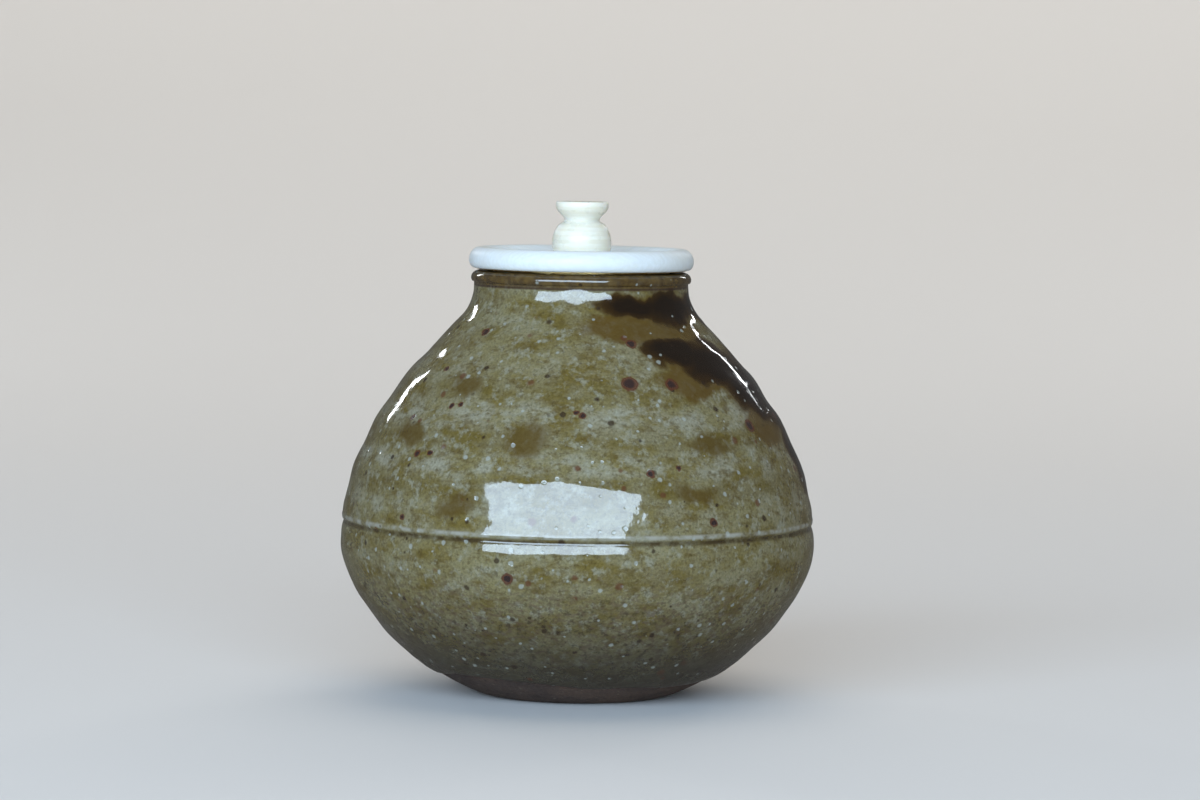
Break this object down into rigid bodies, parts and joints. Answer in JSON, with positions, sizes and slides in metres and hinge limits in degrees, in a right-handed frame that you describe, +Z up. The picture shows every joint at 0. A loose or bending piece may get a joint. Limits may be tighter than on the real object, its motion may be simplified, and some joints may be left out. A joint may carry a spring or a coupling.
{
  "type": "lidded tea jar",
  "caption": "Small wheel-thrown stoneware tea jar with a low belly, narrow neck and mottled glaze, closed by a turned dished lid with a plug and a knob that lifts straight off.",
  "frame": {"origin": "middle of the flat underside of the jar's foot, where it stands", "axes": "+Z up along the jar's turning axis, through the lid's knob; X and Y level, with the pictured side facing -Y"},
  "size_m": [0.0698, 0.0698, 0.0725],
  "materials": {
    "stoneware": "bare fired clay, matte and slightly gritty",
    "glaze": "glossy mottled olive ash glaze with iron specks",
    "lid_ivory": "satin, cool white, turned",
    "knob_ivory": "polished, creamy white, turned",
    "gilded_paper": "paper faced with metal leaf, slightly wrinkled"
  },
  "bodies": {
    "jar": {"clay_body": "stoneware", "glaze_coat": "glaze"},
    "lid": {"lid_plate": "lid_ivory", "lid_knob": "knob_ivory", "gilded_lining": "gilded_paper"}
  },
  "joints": [
    {"name": "lid_lift", "type": "slide", "parent": "jar", "child": "lid", "axis": [0, 0, 1], "range_m": [0, 0.04]}
  ]
}
